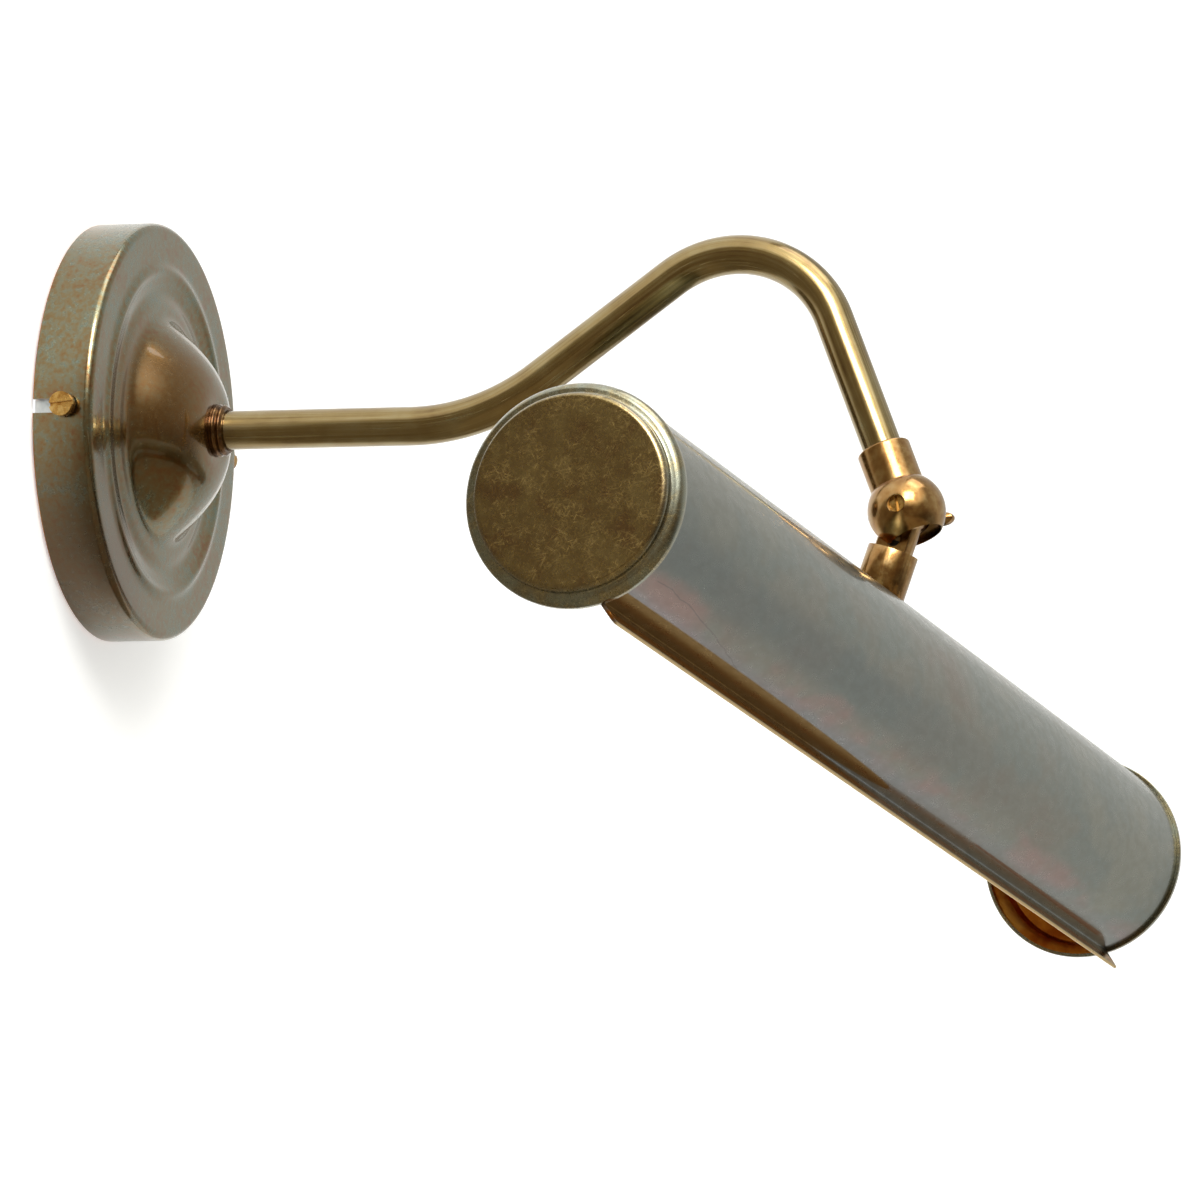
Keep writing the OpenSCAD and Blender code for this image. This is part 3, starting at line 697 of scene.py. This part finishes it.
def trough_row(line, x, lip_scale):
    """One section of the sheet, its lip's width scaled."""
    lip_points = 12
    points = [p.copy() for p in line]
    for i in range(lip_points):
        points[i] = points[lip_points] + (points[i] - points[lip_points]) * lip_scale
    outer, inner = [], []
    last = len(points) - 1
    for i, p in enumerate(points):
        along = (points[min(i + 1, last)] - points[max(i - 1, 0)]).normalized()
        normal = Vector((along.y, -along.x))
        edge = min(1, (p - points[0]).length / (SHEET / 2), (p - points[-1]).length / (SHEET / 2))
        half = SHEET / 2 * max(0.15, math.sqrt(1 - (1 - edge) ** 2))
        outer.append((x, p.x + normal.x * half, p.y + normal.y * half))
        inner.append((x, p.x - normal.x * half, p.y - normal.y * half))
    return outer + inner[::-1]


def trough_piece():
    line = trough_line()
    corner = 2.6
    rows = []
    no_lip = 0.03
    for x in (-SHADE_HALF - 1.9, -SHADE_HALF - 0.03):
        rows.append(trough_row(line, x, no_lip))
    for i in range(9):
        a = math.radians(90 * i / 8)
        cut = 1 - corner * (1 - math.sin(a)) / LIP_W
        rows.append(trough_row(line, -SHADE_HALF + corner * (1 - math.cos(a)), cut))
    for i in range(1, 60):
        rows.append(trough_row(line, -SHADE_HALF + corner + (2 * SHADE_HALF - corner) * i / 60, 1))
    rows.append(trough_row(line, SHADE_HALF, 1))
    for x in (SHADE_HALF + 0.03, SHADE_HALF + 1.9):
        rows.append(trough_row(line, x, no_lip))
    trough = skin("trough", rows, SHADE, ends=True)     # closed at both ends inside the caps
    carve(trough, drill("tail_hole", 4.05, 18, 28, SHADE))
    dress(trough, "shade", "shade_trough")
    middle = Vector((0, -AXIS.x * MM, AXIS.y * MM))

    def inside(p, n):
        out = Vector((0, p.y - middle.y, p.z - middle.z))
        return n.dot(out) < -0.3 * out.length and out.length < SHADE_R * MM

    line_inside(trough, inside)
    return trough


def cap_piece(name, place, sign):
    """A spun cap: a rounded bead, a groove and a raised flat disc."""
    bore = SHADE_R + GAP
    outline = [(bore, CAP_EDGE), (CAP_R - 0.15, CAP_EDGE), (CAP_R, CAP_EDGE + 0.15)]
    outline += arc(CAP_R - 2.4, CAP_EDGE + 0.8, 2.4, 0, 78, 14)
    outline += arc(CAP_R - 2.35, CAP_EDGE + 3.75, 0.55, 250, 190, 5)
    outline += arc(CAP_R - 4.4, CAP_FACE - 1.45, 1.45, 4, 90, 12)
    outline += [(14, CAP_FACE), (6, CAP_FACE), (0, CAP_FACE), (0, CAP_FACE - SHEET)]
    outline += [(6, CAP_FACE - SHEET), (14, CAP_FACE - SHEET), (CAP_R - 4.6, CAP_FACE - SHEET)]
    outline += [(CAP_R - 4.1, CAP_EDGE + 3.6), (CAP_R - 3.6, CAP_EDGE + 2.5)]
    outline += [(CAP_R - 2.6, CAP_EDGE + 2.05), (bore, CAP_EDGE + 2)]
    cap = lathe(name, outline, place, 180, 40)
    dress(cap, "shade", name)
    middle = Vector((0, -AXIS.x * MM, AXIS.y * MM))

    def inside(p, n):
        out = Vector((0, p.y - middle.y, p.z - middle.z))
        return n.x * sign < -0.2 and out.length < (bore - 0.5) * MM or n.dot(out) < -0.5 * out.length

    line_inside(cap, inside)
    return cap


# ---- Pieces kept as the CAD has them, with rounded edges and their finish ----
REPLACED = {"rose_cover", "arm_collar", "arm_tube", "knuckle_socket", "wing_nut", "shade_trough",
            "end_cap_left", "end_cap_right"}
EDGE = {"swivel_stem": 0.25, "rose_screws": 0.3, "pivot_screw": 0.12, "wall_bracket": 0.25}


def dress_cad():
    for name, obj in NODES.items():
        if name in REPLACED:
            continue
        obj.data.materials.clear()
        obj.data.materials.append(MATERIALS[NODE_SLOT[name]])
        if name in EDGE:
            soften(obj, EDGE[name])


# ---- Stage, lights and camera ----
def stage_material(name, colour, one_sided=False):
    """White, but dark in reflections on the left, where a studio's dark side would be."""
    s = Shader(name)
    side = s.add("ShaderNodeSeparateXYZ")
    s.link(s.place, side.inputs[0])
    ray = s.add("ShaderNodeLightPath")
    flag = s.spread(s.maths("ADD", side.outputs[0], side.outputs[2]), -0.14, -0.045, 0.95, 0)
    flag = s.maths("MULTIPLY", flag, ray.outputs["Is Glossy Ray"])
    shaded = s.mix(s.noise(3, 2), colour, tuple(c * 0.98 for c in colour))
    s.set(Base_Color=s.mix(flag, shaded, (0.18, 0.142, 0.084, 1)), Roughness=0.9)
    glow = s.maths("MULTIPLY", s.maths("SUBTRACT", ray.outputs["Is Glossy Ray"], flag), 0.2)
    glow = s.maths("MULTIPLY_ADD", ray.outputs["Is Camera Ray"], 0.42, glow)
    s.set(Emission_Color=(1, 1, 1, 1), Emission_Strength=glow)
    s.bsdf.inputs["Specular IOR Level"].default_value = 0.0
    if one_sided:
        clear = s.add("ShaderNodeBsdfTransparent")
        both = s.add("ShaderNodeMixShader")
        s.link(s.add("ShaderNodeNewGeometry").outputs["Backfacing"], both.inputs[0])
        s.link(s.bsdf.outputs[0], both.inputs[1])
        s.link(clear.outputs[0], both.inputs[2])
        s.link(both.outputs[0], s.tree.nodes["Material Output"].inputs["Surface"])
    return s.material


def ring_sheet(name, inner, outer, place, material, steps=96):
    angles = [2 * math.pi * j / steps for j in range(steps)]
    rows = [[(r * math.cos(a), r * math.sin(a), 0) for a in angles] for r in (inner, outer)]
    bm = bmesh.new()
    verts = [[bm.verts.new(p) for p in row] for row in rows]
    for j in range(steps):
        bm.faces.new((verts[0][j], verts[1][j], verts[1][(j + 1) % steps], verts[0][(j + 1) % steps]))
    bm.transform(place)
    mesh = bpy.data.meshes.new(name)
    bm.to_mesh(mesh)
    bm.free()
    obj = bpy.data.objects.new(name, mesh)
    bpy.context.scene.collection.objects.link(obj)
    mesh.materials.append(material)


def build_stage():
    """The wall, open behind the rose, and a floor well below; sizes and places in metres."""
    hole = (ROSE_R - 2) * MM
    wall_place = Matrix.Translation((0, 0.0006, 0)) @ turned("X", 90)
    ring_sheet("wall", hole, 3.0, wall_place, stage_material("wall_white", (0.9, 0.9, 0.9, 1), True))
    floor_place = Matrix.Translation((0, 0, -1.1))
    ring_sheet("floor", 0.0001, 2.4, floor_place, stage_material("floor_white", (0.62, 0.62, 0.61, 1)))


def area_light(name, at, size, power):
    """A square light, in metres and watts, aimed at the middle of the object."""
    lamp = bpy.data.lights.new(name, "AREA")
    lamp.shape, lamp.size, lamp.size_y, lamp.energy = "RECTANGLE", size, size, power
    obj = bpy.data.objects.new(name, lamp)
    obj.location = at
    middle = Vector((0, -0.12, -0.03))
    obj.rotation_euler = (middle - Vector(at)).to_track_quat("-Z", "Y").to_euler()
    bpy.context.scene.collection.objects.link(obj)


def build_world():
    """A warm dim room with a wide pale side on the right, a bright patch high on the left, and a dark
    patch low in front. What the camera sees directly is plain white."""
    bright_side, bright_patch, dark_patch = (1, -0.1, 0.1), (-0.62, -0.33, 0.72), (0.05, -0.75, -0.65)
    world = bpy.data.worlds.new("studio")
    bpy.context.scene.world = world
    world.use_nodes = True
    tree = world.node_tree
    tree.nodes.clear()

    def add(kind, **values):
        made = tree.nodes.new(kind)
        for key, value in values.items():
            setattr(made, key, value)
        return made

    def toward(direction, low, high, to_low, to_high):
        """A soft patch of the surroundings round a direction."""
        dot = add("ShaderNodeVectorMath", operation="DOT_PRODUCT")
        tree.links.new(coords.outputs["Generated"], dot.inputs[0])
        dot.inputs[1].default_value = Vector(direction).normalized()
        patch = add("ShaderNodeMapRange", interpolation_type="SMOOTHSTEP")
        tree.links.new(dot.outputs["Value"], patch.inputs["Value"])
        for key, value in zip(("From Min", "From Max", "To Min", "To Max"), (low, high, to_low, to_high)):
            patch.inputs[key].default_value = value
        return patch.outputs["Result"]

    def join(operation, a, b):
        made = add("ShaderNodeMath", operation=operation)
        tree.links.new(a, made.inputs[0])
        tree.links.new(b, made.inputs[1])
        return made.outputs[0]

    coords = add("ShaderNodeTexCoord")
    side, patch = toward(bright_side, -0.5, 0.75, 0.22, 0.62), toward(bright_patch, 0.72, 0.95, 0.0, 2.0)
    light = join("MULTIPLY", join("ADD", side, patch), toward(dark_patch, 0.6, 0.92, 1.0, 0.3))
    room = add("ShaderNodeBackground")
    tree.links.new(light, room.inputs["Strength"])
    hue = add("ShaderNodeMix", data_type="RGBA")
    side, patch = toward(bright_side, -0.6, 0.5, 0.0, 1.0), toward(bright_patch, 0.6, 0.85, 0.0, 1.0)
    tree.links.new(join("ADD", side, patch), hue.inputs[0])
    hue.inputs[6].default_value = (1.0, 0.76, 0.46, 1)
    hue.inputs[7].default_value = (1.0, 1.0, 0.94, 1)
    tree.links.new(hue.outputs[2], room.inputs["Color"])
    plain = add("ShaderNodeBackground")
    plain.inputs["Color"].default_value = (1, 1, 1, 1)
    plain.inputs["Strength"].default_value = 1.05
    chosen = add("ShaderNodeMixShader")
    tree.links.new(add("ShaderNodeLightPath").outputs["Is Camera Ray"], chosen.inputs[0])
    tree.links.new(room.outputs[0], chosen.inputs[1])
    tree.links.new(plain.outputs[0], chosen.inputs[2])
    output = add("ShaderNodeOutputWorld")
    tree.links.new(chosen.outputs[0], output.inputs["Surface"])


def build_camera():
    """The picture's viewpoint: a long lens, low and far to the left, looking up along the shade."""
    lens = bpy.data.cameras.new("camera")
    lens.sensor_width, lens.lens = 36.0, 354.08
    lens.clip_start, lens.clip_end = 0.05, 60
    camera = bpy.data.objects.new("camera", lens)
    azimuth, elevation, roll = math.radians(-71.2167), math.radians(-12.1149), math.radians(3.0278)
    level_part = math.cos(elevation)
    back = Vector((math.sin(azimuth) * level_part, -math.cos(azimuth) * level_part, math.sin(elevation)))
    level = Vector((0, 0, 1)).cross(back).normalized()
    upright = back.cross(level)
    right = level * math.cos(roll) + upright * math.sin(roll)
    up = back.cross(right)
    turn = Matrix((right, up, back)).transposed().to_4x4()
    camera.matrix_world = Matrix.Translation(Vector((-2.6245, -1.0219, -0.6391))) @ turn
    bpy.context.scene.collection.objects.link(camera)
    bpy.context.scene.camera = camera


build_camera()
rose_piece()
collar_piece()
arm_piece()
knuckle_piece()
wing_piece()
trough_piece()
cap_piece("end_cap_left", LEFT, -1)
cap_piece("end_cap_right", RIGHT, 1)
dress_cad()
build_stage()
build_world()
area_light("key", (-1.85, -0.95, 1.45), 1.1, 42)
area_light("top", (-0.1, -0.9, 2.6), 1.4, 16)
bpy.context.scene.view_settings.view_transform = "Standard"
